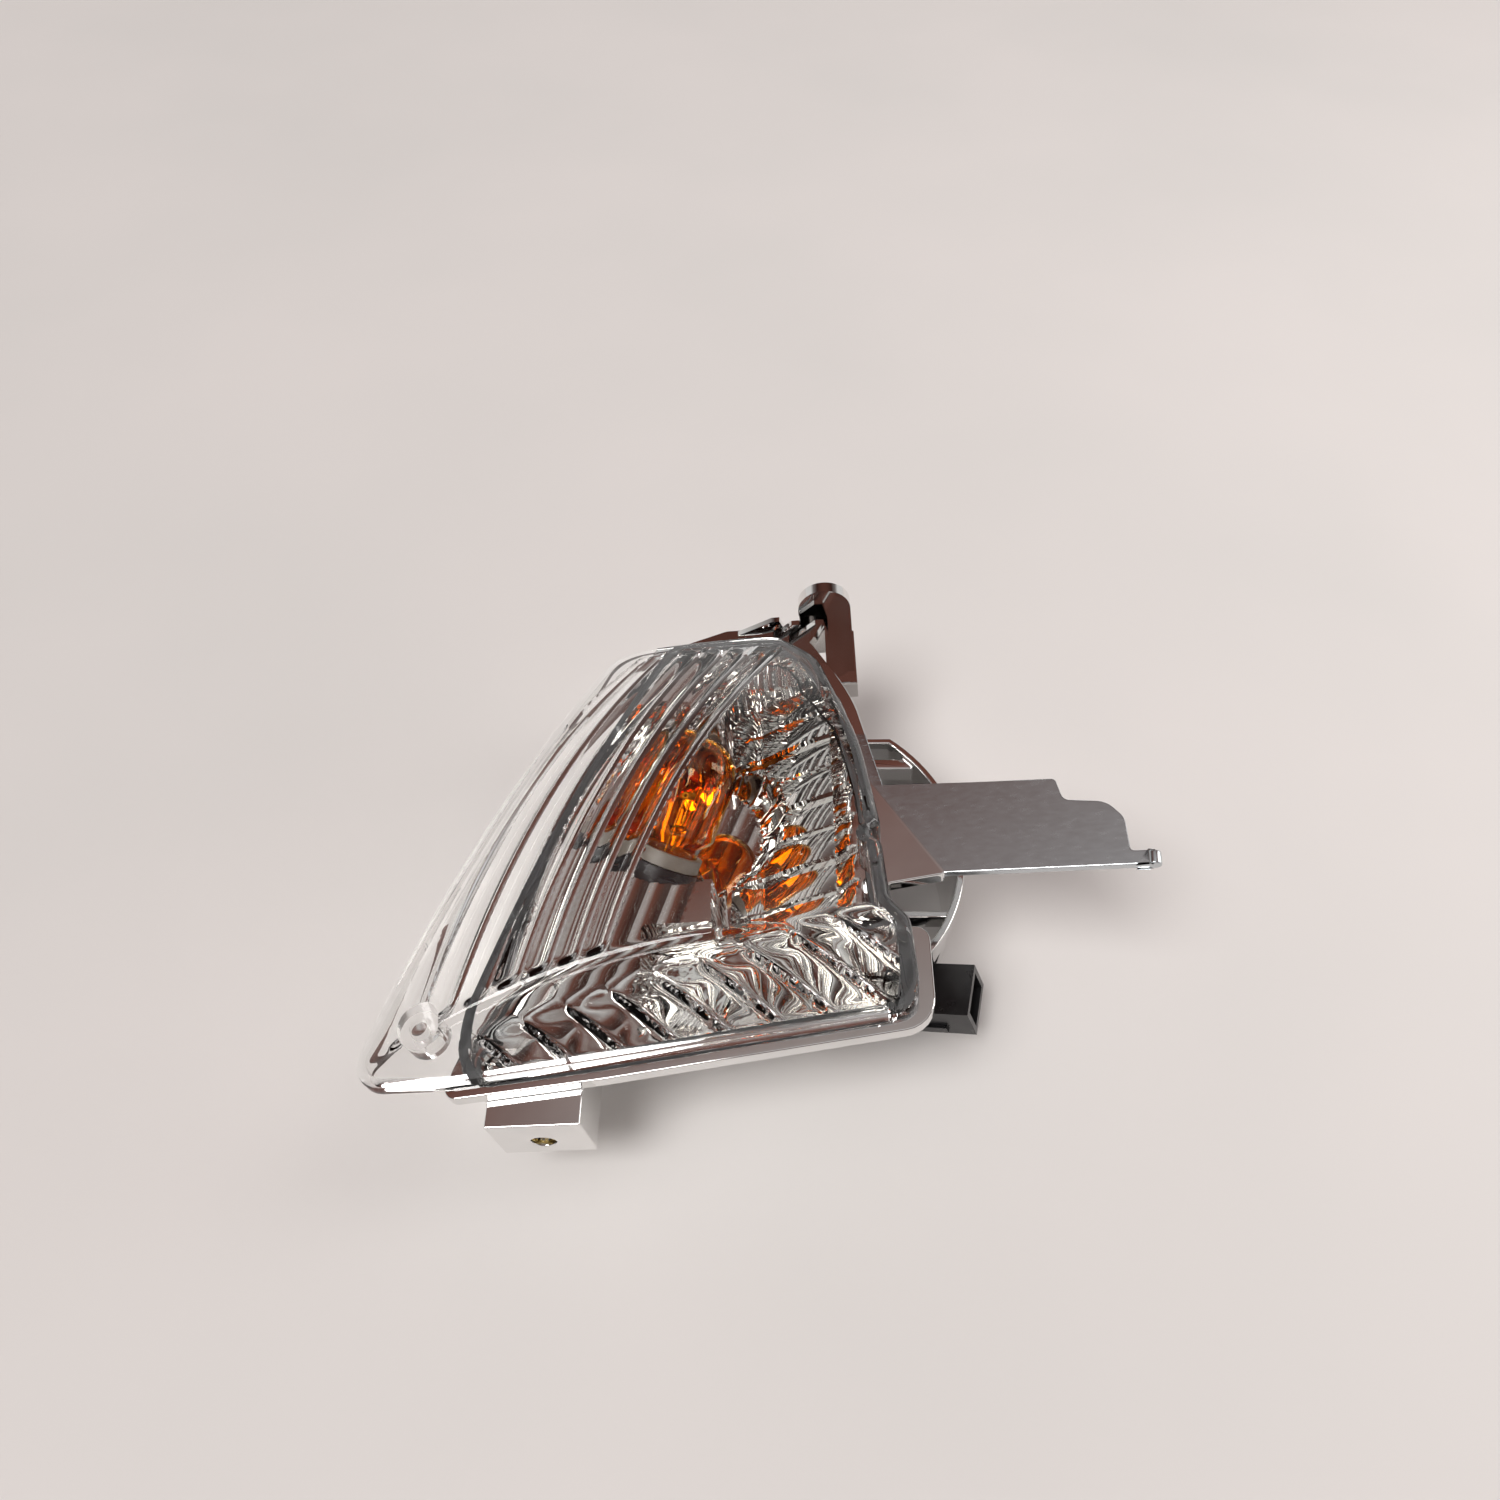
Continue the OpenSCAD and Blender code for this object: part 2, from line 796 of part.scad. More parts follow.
module tail_wires(gap) {
    for (side = [-1, 1])
        for (face = [-1, 1])
            translate([side * contact_off, face * (wedge_t / 2 + 0.1), wedge_back + 0.8])
                cylinder(r = 0.4 + gap, h = 4.4, $fn = 24);
}

module bulb_tail_wires() {
    color("silver")
        placed()
            on_bulb_axis()
                tail_wires(0);
}

module filament_posts() {
    color("silver")
        placed()
            on_bulb_axis()
                for (side = [-1, 1])
                    translate([side * 2.6, 0, base_front - 0.4])
                        cylinder(r = 0.35, h = 13, $fn = 24);
}

module glass_bead() {
    color("lightgray", 0.6)
        placed()
            on_bulb_axis()
                difference() {
                    translate([-4.2, 0, base_front + 5])
                        rotate([0, 90, 0])
                            cylinder(r = 1.2, h = 8.4);
                    for (side = [-1, 1])
                        translate([side * 2.6, 0, base_front])
                            cylinder(r = 0.35, h = 14, $fn = 24);
                }
}

module filament() {
    color("gray")
        placed()
            on_bulb_axis()
                for (i = [-4 : 4])
                    translate([i * 0.6, 0, base_front + 12.6 + 0.94])
                        rotate([0, 90, 0])
                            rotate_extrude($fn = 24)
                                translate([0.6, 0])
                                    circle(r = 0.33, $fn = 16);
}

// ---------------------------------------------------------------- plug and leads
module plug_shell() {
    color([0.07, 0.07, 0.08])
        placed()
            at_plug()
                difference() {
                    union() {
                        translate([-plug_l, -plug_w / 2, -plug_h / 2])
                            cube([plug_l, plug_w, plug_h]);
                        translate([-plug_l + 6, -plug_w / 2 - 0.8, -plug_h / 2 + 1.6])
                            cube([plug_l - 12, plug_w + 1.6, 2.2]);
                        translate([-12, -2.2, -plug_h / 2 - 1.4])
                            cube([6, 4.4, 2]);
                    }
                    translate([-12, -plug_w / 2 + plug_wall, -plug_h / 2 + plug_wall])
                        cube([13, plug_w - 2 * plug_wall, plug_h - 2 * plug_wall]);
                    for (side = [-1, 1])
                        translate([-14, side * blade_pitch / 2 - blade_w / 2, -blade_t / 2])
                            cube([4, blade_w, blade_t]);
                    for (side = [-1, 1])
                        translate([-plug_l - 1, side * blade_pitch / 2, 0])
                            rotate([0, 90, 0])
                                cylinder(r = 1.9, h = 9);
                }
}

module blade(side) {
    color("lightgray")
        placed()
            at_plug()
                translate([-14, side * blade_pitch / 2 - blade_w / 2, -blade_t / 2])
                    cube([11.5, blade_w, blade_t]);
}

module blade_live() {
    blade(-1);
}

module blade_earth() {
    blade(1);
}

module plug_wire_seals() {
    color("darkgreen")
        placed()
            at_plug()
                for (side = [-1, 1])
                    translate([-plug_l - 1.2, side * blade_pitch / 2, 0])
                        rotate([0, 90, 0])
                            difference() {
                                cylinder(r = 1.88, h = 6);
                                translate([0, 0, -1])
                                    cylinder(r = lead_r, h = 9);
                            }
}

// One lead's centre line: side by side along the route, spreading to the blades' pitch at the plug.
module lead(side) {
    route = smooth(lead_route);
    first = len(route) - 9;
    line = [for (i = [0 : len(route) - 1])
        let (spread = min(max((i - first) / 4, 0), 1))
            route[i] + side * route_side(route, i) * (lead_apart + (blade_pitch / 2 - lead_apart) * spread)];
    tube_along(line, lead_r);
}

module lead_live() {
    color("black")
        placed()
            lead(1);
}

module lead_earth() {
    color("darkgreen")
        placed()
            lead(-1);
}

module lead_sleeve() {
    route = smooth(lead_route);
    color([0.1, 0.1, 0.1])
        placed()
            hose_along([for (i = [6 : 26]) route[i]], sleeve_r, sleeve_bore);
}

housing();
reflector();
reflector_screws();
lens();
lens_seal();
breather_cap();
clip_nut();
socket_body();
socket_gasket();
contact_live();
contact_earth();
bulb_glass();
bulb_base();
bulb_tail_wires();
filament();
filament_posts();
glass_bead();
plug_shell();
plug_wire_seals();
blade_live();
blade_earth();
lead_live();
lead_earth();
lead_sleeve();
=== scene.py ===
"""Looks of a flush turn signal lamp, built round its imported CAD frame."""

import math

import bmesh
import bpy
import numpy as np
from mathutils import Matrix, Vector
from mathutils.geometry import delaunay_2d_cdt
from mathutils.kdtree import KDTree


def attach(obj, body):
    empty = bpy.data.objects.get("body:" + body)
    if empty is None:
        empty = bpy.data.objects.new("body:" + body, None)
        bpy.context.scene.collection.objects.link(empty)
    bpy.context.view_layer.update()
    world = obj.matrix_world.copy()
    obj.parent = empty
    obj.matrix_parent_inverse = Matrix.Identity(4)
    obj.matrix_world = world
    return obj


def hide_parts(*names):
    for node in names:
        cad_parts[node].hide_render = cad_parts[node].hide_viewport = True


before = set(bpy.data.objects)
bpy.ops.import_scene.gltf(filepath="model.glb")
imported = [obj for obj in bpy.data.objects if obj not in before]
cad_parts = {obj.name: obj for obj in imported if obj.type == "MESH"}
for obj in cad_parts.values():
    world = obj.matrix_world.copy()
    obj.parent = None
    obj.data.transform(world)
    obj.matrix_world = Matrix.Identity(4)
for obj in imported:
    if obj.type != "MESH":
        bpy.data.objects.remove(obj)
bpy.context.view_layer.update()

MM = 0.001
CENTRE = (2.305, -20.45)
RIM_HEIGHT = 40.4
RIM_TILT = 6.8
SEAT = (-22.7, -22.2, 17.7)
BULB_AZIMUTH = 64
BULB_ELEVATION = 36

# Frames in millimetres: the rim plane, and the bulb's own axis with the seat at 0.
PLACED = Matrix.Translation((-CENTRE[0], -CENTRE[1], 0))
RIM = PLACED @ Matrix.Translation((0, 0, RIM_HEIGHT)) @ Matrix.Rotation(math.radians(-RIM_TILT), 4, "Y")
BULB = (PLACED @ Matrix.Translation(SEAT) @ Matrix.Rotation(math.radians(BULB_AZIMUTH), 4, "Z")
        @ Matrix.Rotation(math.radians(90 - BULB_ELEVATION), 4, "Y"))


# ------------------------------------------------------------------ outlines and meshes
def rounded(corners, steps=8):
    """The closed outline through corners [x, y, radius], with an arc at each corner."""
    points = []
    for i, (bx, by, radius) in enumerate(corners):
        b = np.array([bx, by])
        before = np.array(corners[i - 1][:2]) - b
        after = np.array(corners[(i + 1) % len(corners)][:2]) - b
        p = before / np.linalg.norm(before)
        q = after / np.linalg.norm(after)
        half = math.acos(max(-1, min(1, p @ q))) / 2
        reach = min(radius / math.tan(half), 0.45 * np.linalg.norm(before), 0.45 * np.linalg.norm(after))
        r = reach * math.tan(half)
        middle = b + (p + q) / np.linalg.norm(p + q) * r / math.sin(half)
        start, end = b + p * reach - middle, b + q * reach - middle
        turn = 1 if start[0] * end[1] - start[1] * end[0] > 0 else -1
        first = math.atan2(start[1], start[0])
        for k in range(steps + 1):
            angle = first + turn * (math.pi - 2 * half) * k / steps
            points.append(middle + r * np.array([math.cos(angle), math.sin(angle)]))
    return np.array(points)


def inset(corners, depth):
    """The same corners moved inwards by depth, with their radii to match."""
    moved = []
    for i, (bx, by, radius) in enumerate(corners):
        b = np.array([bx, by])
        p = b - np.array(corners[i - 1][:2])
        q = np.array(corners[(i + 1) % len(corners)][:2]) - b
        p, q = p / np.linalg.norm(p), q / np.linalg.norm(q)
        normals = np.array([-p[1] - q[1], p[0] + q[0]])
        inner = b + depth * normals / (1 + p @ q)
        turn = p[0] * q[1] - p[1] * q[0]
        moved.append((inner[0], inner[1], max(0.4, radius + (-depth if turn > 0 else depth))))
    return moved


def even(points, pitch):
    """Points along a closed outline, no further apart than pitch."""
    result = []
    for i, a in enumerate(points):
        b = points[(i + 1) % len(points)]
        parts = max(1, math.ceil(np.linalg.norm(b - a) / pitch))
        result.extend(a + (b - a) * k / parts for k in range(parts))
    kept = [result[0]]
    for point in result[1:]:
        if np.linalg.norm(point - kept[-1]) > 0.2 * pitch:
            kept.append(point)
    return np.array(kept)


def ring(middle, radius, count):
    """Points round a circle."""
    turns = np.linspace(0, 2 * math.pi, count, endpoint=False)
    return np.stack([middle[0] + radius * np.cos(turns), middle[1] + radius * np.sin(turns)], axis=1)


def distance_to(points, outline):
    """How far each point is from a closed outline of closely spaced points."""
    tree = KDTree(len(outline))
    for i, (x, y) in enumerate(outline):
        tree.insert((x, y, 0), i)
    tree.balance()
    nearest = np.array([tree.find((x, y, 0))[1] for x, y in points])
    best = np.full(len(points), 1e9)
    for step in (-1, 0):
        a = outline[(nearest + step) % len(outline)]
        d = outline[(nearest + step + 1) % len(outline)] - a
        length = np.maximum((d * d).sum(axis=1), 1e-12)
        t = np.clip(((points - a) * d).sum(axis=1) / length, 0, 1)
        best = np.minimum(best, np.linalg.norm(points - a - t[:, None] * d, axis=1))
    return best


def inside(points, outline):
    """True for the points inside a closed outline."""
    x, y = points[:, 0], points[:, 1]
    result = np.zeros(len(points), bool)
    for i, (ax, ay) in enumerate(outline):
        bx, by = outline[(i + 1) % len(outline)]
        if ay == by:
            continue
        crosses = (ay > y) != (by > y)
        result ^= crosses & (x < ax + (y - ay) * (bx - ax) / (by - ay))
    return result


def triangulate(border, extra, pitch, margin):
    """Points and triangles that fill a closed border, and the border's own points among them."""
    low, high = border.min(axis=0), border.max(axis=0)
    rows = []
    for j, y in enumerate(np.arange(low[1], high[1], pitch * 0.866)):
        xs = np.arange(low[0] + (j % 2) * pitch / 2, high[0], pitch)
        rows.append(np.stack([xs, np.full(len(xs), y)], axis=1))
    grid = np.concatenate(rows)
    grid = grid[inside(grid, border)]
    keep = distance_to(grid, border) > margin
    for line in extra:
        keep &= distance_to(grid, line) > 0.45 * pitch
    points = np.concatenate([border] + list(extra) + [grid[keep]])
    count = len(border)
    edges = [(i, (i + 1) % count) for i in range(count)]
    made = delaunay_2d_cdt([Vector(p) for p in points], edges, [], 1, 1e-5)
    flat = np.array([tuple(p) for p in made[0]])
    place = {i: k for k, origin in enumerate(made[3]) for i in origin}
    return flat, [tuple(f) for f in made[2]], [place[i] for i in range(count)]


def sharpen(mesh, limit):
    """Smooth shading, with edges sharper than limit degrees left crisp."""
    work = bmesh.new()
    work.from_mesh(mesh)
    for face in work.faces:
        face.smooth = True
    for edge in work.edges:
        edge.smooth = len(edge.link_faces) < 2 or edge.calc_face_angle(0) < math.radians(limit)
    work.to_mesh(mesh)
    work.free()


def add_piece(name, points, faces, place, body, material, limit=35):
    """A piece from points in millimetres in the frame place, on a body, with a material."""
    mesh = bpy.data.meshes.new(name)
    placed = [(place @ Vector(p)) * MM for p in points]
    mesh.from_pydata(placed, [], faces)
    mesh.validate()
    work = bmesh.new()
    work.from_mesh(mesh)
    bmesh.ops.remove_doubles(work, verts=work.verts, dist=0.00001)
    bmesh.ops.recalc_face_normals(work, faces=work.faces)
    work.to_mesh(mesh)
    work.free()
    sharpen(mesh, limit)
    mesh.materials.append(material)
    piece = bpy.data.objects.new(name, mesh)
    bpy.context.collection.objects.link(piece)
    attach(piece, body)
    return piece


# ------------------------------------------------------------------ camera, floor and light
def add_camera():
    data = bpy.data.cameras.new("camera")
    data.sensor_width = 36
    data.lens = 27.05
    camera = bpy.data.objects.new("camera", data)
    bpy.context.collection.objects.link(camera)
    look_down = 53
    distance = 262
    aim = Vector((-CENTRE[0], -CENTRE[1], 44))
    back = Vector((0, -math.cos(math.radians(look_down)), math.sin(math.radians(look_down))))
    camera.matrix_world = (Matrix.Translation((aim + back * distance) * MM)
                           @ Matrix.Rotation(math.radians(90 - look_down), 4, "X"))
    bpy.context.scene.camera = camera


def add_light(name, place, aim, size, power, colour):
    data = bpy.data.lights.new(name, "AREA")
    data.shape = "RECTANGLE"
    data.size, data.size_y = size
    data.energy = power
    data.color = colour
    lamp = bpy.data.objects.new(name, data)
    bpy.context.collection.objects.link(lamp)
    lamp.location = place
    lamp.visible_camera = False
    lamp.rotation_euler = (Vector(aim) - Vector(place)).to_track_quat("-Z", "Y").to_euler()


def add_sun():
    """The main softbox, far enough away to light the whole floor evenly."""
    data = bpy.data.lights.new("key", "SUN")
    data.energy = 3.3
    data.angle = math.radians(26)
    data.color = (1.0, 0.98, 0.96)
    lamp = bpy.data.objects.new("key", data)
    bpy.context.collection.objects.link(lamp)
    lamp.rotation_euler = Vector((0.4, 0.35, -0.9)).to_track_quat("-Z", "Y").to_euler()


# A Mix node's colour sockets, which share their names with its other types' sockets.
MIX_A, MIX_B, MIX_RESULT = 6, 7, 2


def add_world():
    world = bpy.data.worlds.new("studio")
    bpy.context.scene.world = world
    world.use_nodes = True
    nodes = world.node_tree.nodes
    links = world.node_tree.links
    coords = nodes.new("ShaderNodeTexCoord")
    split = nodes.new("ShaderNodeSeparateXYZ")
    ramp = nodes.new("ShaderNodeValToRGB")
    links.new(coords.outputs["Generated"], split.inputs[0])
    links.new(split.outputs["Z"], ramp.inputs["Fac"])
    stops = ramp.color_ramp.elements
    stops[0].position, stops[0].color = 0.0, (1.15, 1.12, 1.1, 1)
    stops[1].position, stops[1].color = 1.0, (1.3, 1.3, 1.32, 1)
    for place, colour in ((0.34, (1.1, 1.08, 1.06)), (0.46, (0.3, 0.26, 0.25)), (0.6, (0.06, 0.026, 0.02)),
                          (0.82, (0.25, 0.10, 0.075)), (0.93, (0.6, 0.54, 0.52))):
        stops.new(place).color = (*colour, 1)
    rays = nodes.new("ShaderNodeLightPath")
    seen = nodes.new("ShaderNodeMix")
    seen.data_type = "RGBA"
    seen.inputs[MIX_B].default_value = (1.05, 1.03, 1.02, 1)
    links.new(rays.outputs["Is Camera Ray"], seen.inputs["Factor"])
    links.new(ramp.outputs["Color"], seen.inputs[MIX_A])
    links.new(seen.outputs[MIX_RESULT], nodes["Background"].inputs["Color"])
    nodes["Background"].inputs["Strength"].default_value = 1.0


def add_studio():
    bpy.context.scene.view_settings.view_transform = "Standard"
    bpy.context.scene.view_settings.exposure = -0.75
    add_camera()
    add_world()
    add_sun()
    add_light("side", (0.8, 0.1, 0.45), (0, 0, 0.02), (0.3, 0.6), 4, (1.0, 0.97, 0.95))


# ------------------------------------------------------------------ materials
FOLD_AT = (27.9, -10)
FOLD_TURN = -60


def new_material(name, colour, metallic=0.0, roughness=0.5, **sockets):
    """A Principled material; sockets holds further inputs by name, with _ for a space."""
    material = bpy.data.materials.new(name)
    material.use_nodes = True
    shader = material.node_tree.nodes["Principled BSDF"]
    shader.inputs["Base Color"].default_value = (*colour, 1)
    shader.inputs["Metallic"].default_value = metallic
    shader.inputs["Roughness"].default_value = roughness
    for key, value in sockets.items():
        shader.inputs[key.replace("_", " ")].default_value = value
    return material


def add_noise(material, scale, detail=4, stretch=(1, 1, 1)):
    """A noise texture in the object's own millimetres, as its Factor socket."""
    nodes, links = material.node_tree.nodes, material.node_tree.links
    coords = nodes.new("ShaderNodeTexCoord")
    mapping = nodes.new("ShaderNodeMapping")
    mapping.inputs["Scale"].default_value = [1000 * s for s in stretch]
    noise = nodes.new("ShaderNodeTexNoise")
    noise.inputs["Scale"].default_value = scale
    noise.inputs["Detail"].default_value = detail
    links.new(coords.outputs["Object"], mapping.inputs["Vector"])
    links.new(mapping.outputs["Vector"], noise.inputs["Vector"])
    return noise.outputs["Fac"]


def vary_roughness(material, source, low, high):
    nodes, links = material.node_tree.nodes, material.node_tree.links
    spread = nodes.new("ShaderNodeMapRange")
    spread.inputs["From Min"].default_value = 0.35
    spread.inputs["From Max"].default_value = 0.7
    spread.inputs["To Min"].default_value = low
    spread.inputs["To Max"].default_value = high
    links.new(source, spread.inputs["Value"])
    links.new(spread.outputs["Result"], nodes["Principled BSDF"].inputs["Roughness"])


def vary_colour(material, source, first, second):
    nodes, links = material.node_tree.nodes, material.node_tree.links
    ramp = nodes.new("ShaderNodeValToRGB")
    ramp.color_ramp.elements[0].position = 0.35
    ramp.color_ramp.elements[0].color = (*first, 1)
    ramp.color_ramp.elements[1].position = 0.68
    ramp.color_ramp.elements[1].color = (*second, 1)
    links.new(source, ramp.inputs["Fac"])
    links.new(ramp.outputs["Color"], nodes["Principled BSDF"].inputs["Base Color"])


def add_bump(material, source, strength, distance):
    nodes, links = material.node_tree.nodes, material.node_tree.links
    bump = nodes.new("ShaderNodeBump")
    bump.inputs["Strength"].default_value = strength
    bump.inputs["Distance"].default_value = distance * MM
    links.new(source, bump.inputs["Height"])
    links.new(bump.outputs["Normal"], nodes["Principled BSDF"].inputs["Normal"])


def metallised(name, colour, wave, haze):
    """A metal coat on moulded plastic: a mirror with faint waves and dusty patches."""
    material = new_material(name, colour, metallic=1.0, roughness=0.05)
    vary_roughness(material, add_noise(material, 0.09), *haze)
    vary_colour(material, add_noise(material, 0.05, 3), colour, [0.9 * c for c in colour])
    add_bump(material, add_noise(material, 0.16, 1), wave, 0.25)
    return material


def add_ramp(material, value, low, high):
    """0 below low and 1 above high."""
    ramp = material.node_tree.nodes.new("ShaderNodeMapRange")
    ramp.inputs["From Min"].default_value = low
    ramp.inputs["From Max"].default_value = high
    material.node_tree.links.new(value, ramp.inputs["Value"])
    return ramp.outputs["Result"]


def add_satin_plate(material):
    """Makes the side plate, beyond its fold line, satin instead of mirror-like, with a darker grey colour that
    is partly its duller coat and partly painted shade for the dark reflection it shows.
    """
    nodes, links = material.node_tree.nodes, material.node_tree.links
    shader = nodes["Principled BSDF"]
    gloss = shader.inputs["Roughness"].links[0].from_socket
    coords = nodes.new("ShaderNodeTexCoord")
    split = nodes.new("ShaderNodeSeparateXYZ")
    links.new(coords.outputs["Object"], split.inputs[0])
    turn = math.radians(FOLD_TURN)
    along = nodes.new("ShaderNodeVectorMath")
    along.operation = "DOT_PRODUCT"
    along.inputs[1].default_value = (-math.sin(turn), math.cos(turn), 0)
    links.new(coords.outputs["Object"], along.inputs[0])
    fold = (RIM @ Vector((*FOLD_AT, 0))) * MM
    start = -math.sin(turn) * fold.x + math.cos(turn) * fold.y
    masks = [add_ramp(material, along.outputs["Value"], start, start + 0.4 * MM),
             add_ramp(material, split.outputs["Y"], 26 * MM, 25 * MM),
             add_ramp(material, split.outputs["Z"], 32 * MM, 33 * MM)]
    mask = masks[0]
    for other in masks[1:]:
        both = nodes.new("ShaderNodeMath")
        both.operation = "MULTIPLY"
        links.new(mask, both.inputs[0])
        links.new(other, both.inputs[1])
        mask = both.outputs[0]
    grain = add_ramp(material, add_noise(material, 1.1, 3, (0.25, 1, 1)), 0.3, 0.7)
    satin = nodes.new("ShaderNodeMath")
    satin.operation = "MULTIPLY_ADD"
    satin.inputs[1].default_value = 0.08
    satin.inputs[2].default_value = 0.2
    links.new(grain, satin.inputs[0])
    mix = nodes.new("ShaderNodeMix")
    links.new(mask, mix.inputs["Factor"])
    links.new(gloss, mix.inputs["A"])
    links.new(satin.outputs[0], mix.inputs["B"])
    links.new(mix.outputs["Result"], shader.inputs["Roughness"])
    # Painted shade: the plate's base colour is a darker grey than the rest of the coat, partly its duller
    # satin coat and partly standing in for the dark reflection it shows.
    plate_tone_and_shade = nodes.new("ShaderNodeMix")
    plate_tone_and_shade.data_type = "RGBA"
    links.new(mask, plate_tone_and_shade.inputs["Factor"])
    links.new(shader.inputs["Base Color"].links[0].from_socket, plate_tone_and_shade.inputs[MIX_A])
    plate_tone_and_shade.inputs[MIX_B].default_value = (0.55, 0.58, 0.6, 1)
    links.new(plate_tone_and_shade.outputs[MIX_RESULT], shader.inputs["Base Color"])


def grained(name, colour, metallic, roughness, grain, depth, stretch=(1, 1, 1)):
    """A moulded, drawn or pressed surface with an even grain and slight colour change."""
    material = new_material(name, colour, metallic=metallic, roughness=sum(roughness) / 2)
    fine = add_noise(material, grain, 3, stretch)
    vary_roughness(material, add_noise(material, 0.2), roughness[0], roughness[1])
    vary_colour(material, add_noise(material, 0.12, 5), colour, [min(1, 1.18 * c + 0.003) for c in colour])
    add_bump(material, fine, depth, 0.05)
    return material


def clear(name, colour, index, roughness):
    """A transparent moulded or blown piece with slight haze from handling."""
    material = new_material(name, colour, roughness=roughness, IOR=index, Transmission_Weight=1.0)
    vary_roughness(material, add_noise(material, 0.3), roughness, roughness + 0.02)
    add_bump(material, add_noise(material, 0.08, 2), 0.03, 0.1)
    return material


CHROME = metallised("metallised_housing", (0.85, 0.845, 0.835), 0.04, (0.03, 0.08))
add_satin_plate(CHROME)
BRIGHT = metallised("metallised_reflector", (0.93, 0.92, 0.90), 0.04, (0.015, 0.05))
CLEAR = clear("clear_acrylic", (0.985, 0.99, 0.985), 1.49, 0.0)
AMBER = clear("amber_glass", (1.0, 0.42, 0.02), 1.5, 0.01)
GLASS = clear("clear_glass", (0.95, 0.96, 0.95), 1.5, 0.01)
BLACK = grained("black_nylon", (0.008, 0.008, 0.009), 0.0, (0.26, 0.4), 2.2, 0.25)
RUBBER = grained("black_rubber", (0.016, 0.016, 0.017), 0.0, (0.6, 0.75), 3.0, 0.2)
GREEN_RUBBER = grained("green_rubber", (0.03, 0.2, 0.09), 0.0, (0.5, 0.65), 3.0, 0.2)
BASE = grained("bulb_base_plastic", (0.10, 0.085, 0.07), 0.0, (0.4, 0.55), 2.5, 0.2)
STEEL = grained("zinc_steel", (0.62, 0.62, 0.63), 1.0, (0.25, 0.4), 1.2, 0.2)
ZINC = grained("yellow_zinc", (0.80, 0.62, 0.25), 1.0, (0.22, 0.38), 1.2, 0.2)
BRONZE = grained("spring_bronze", (0.80, 0.55, 0.28), 1.0, (0.25, 0.4), 1.2, 0.2)
TIN = grained("tinned_metal", (0.78, 0.78, 0.76), 1.0, (0.15, 0.3), 1.2, 0.15)
TUNGSTEN = grained("tungsten", (0.28, 0.28, 0.30), 1.0, (0.35, 0.5), 3.0, 0.3)
BLACK_WIRE = grained("black_wire", (0.025, 0.025, 0.025), 0.0, (0.35, 0.5), 1.5, 0.15)
GREEN_WIRE = grained("green_wire", (0.02, 0.16, 0.05), 0.0, (0.35, 0.5), 1.5, 0.15)
VINYL = grained("vinyl_sleeve", (0.03, 0.03, 0.032), 0.0, (0.28, 0.42), 0.8, 0.3)

NODE_MATERIALS = {
    "housing": CHROME, "reflector": BRIGHT, "reflector_screws": STEEL, "lens": CLEAR, "lens_seal": RUBBER,
    "breather_cap": RUBBER, "clip_nut": ZINC, "socket_body": BLACK, "socket_gasket": RUBBER,
    "contact_live": BRONZE, "contact_earth": BRONZE, "bulb_glass": AMBER, "bulb_base": BASE,
    "bulb_tail_wires": TIN, "filament": TUNGSTEN, "filament_posts": TIN, "glass_bead": GLASS,
    "plug_shell": BLACK, "plug_wire_seals": GREEN_RUBBER, "blade_live": TIN, "blade_earth": TIN,
    "lead_live": BLACK_WIRE, "lead_earth": GREEN_WIRE, "lead_sleeve": VINYL,
}


def paint_nodes():
    for name, material in NODE_MATERIALS.items():
        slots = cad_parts[name].data.materials
        slots.clear()
        slots.append(material)


# ------------------------------------------------------------------ lens
LENS = [(-82.2, -77, 5.5), (-60, -76.9, 90), (34.6, -65.8, 6), (33.2, -50.5, 4), (29.7, -46.5, 4),
        (28.8, -33, 1.5), (26.2, -30.6, 1.2), (28.9, -28, 1.5), (25.8, -4, 90), (17, 27, 16),
        (7, 37.3, 10), (-34, 35.5, 13)]
SEAL = [(-58.6, -75.2, 4), (-29.8, -72.4, 90), (31.6, -64.6, 5.5), (31.2, -50.6, 3), (27.6, -46, 3.5),
        (26.7, -33.6, 1.5), (25.6, -12, 60), (21, 14, 40), (12, 33, 9), (-19, 34.8, 5)]
LENS_WALL = 2.4
CROWN_AT = (-8, -45)
CROWN_RADIUS = 245
CROWN_HEIGHT = 17
BAND_FOOT = ((-82.2, -78.6), (34.6, -67.4))
BAND_START = 2.2
BAND_SLOPE = 40
EDGE_ROUND = 2.0
BOSS_AT = (-66, -65.5)
BOSS_R = 4.6
BOSS_HOLE_R = 2.1
BOSS_HOLE_DEPTH = 4.2
FLUTES = 7
FLUTE_DEPTH = 1.7
PILLOW_DEPTH = 2.5
PILLOWS = 9
PILLOW_START = -55
PILLOW_LEAN = 9.5
PILLOW_PITCH = 8.7
PILLOW_SPREAD = 1.9


def smooth_step(x):
    x = np.clip(x, 0, 1)
    return x * x * (3 - 2 * x)


def smooth_min(a, b, width):
    h = np.clip(0.5 + 0.5 * (b - a) / width, 0, 1)
    return b * (1 - h) + a * h - width * h * (1 - h)


def crown(x, y):
    sphere = np.sqrt(CROWN_RADIUS ** 2 - (x - CROWN_AT[0]) ** 2 - (y - CROWN_AT[1]) ** 2)
    return sphere - CROWN_RADIUS + CROWN_HEIGHT


def band(x, y):
    (ax, ay), (bx, by) = BAND_FOOT
    length = math.hypot(bx - ax, by - ay)
    away = ((bx - ax) * (y - ay) - (by - ay) * (x - ax)) / length
    return BAND_START + away * math.tan(math.radians(BAND_SLOPE))


def face_height(x, y):
    """Height of the lens's outer face above the rim plane, before its edge is rounded."""
    return smooth_min(crown(x, y), band(x, y), 0.8)


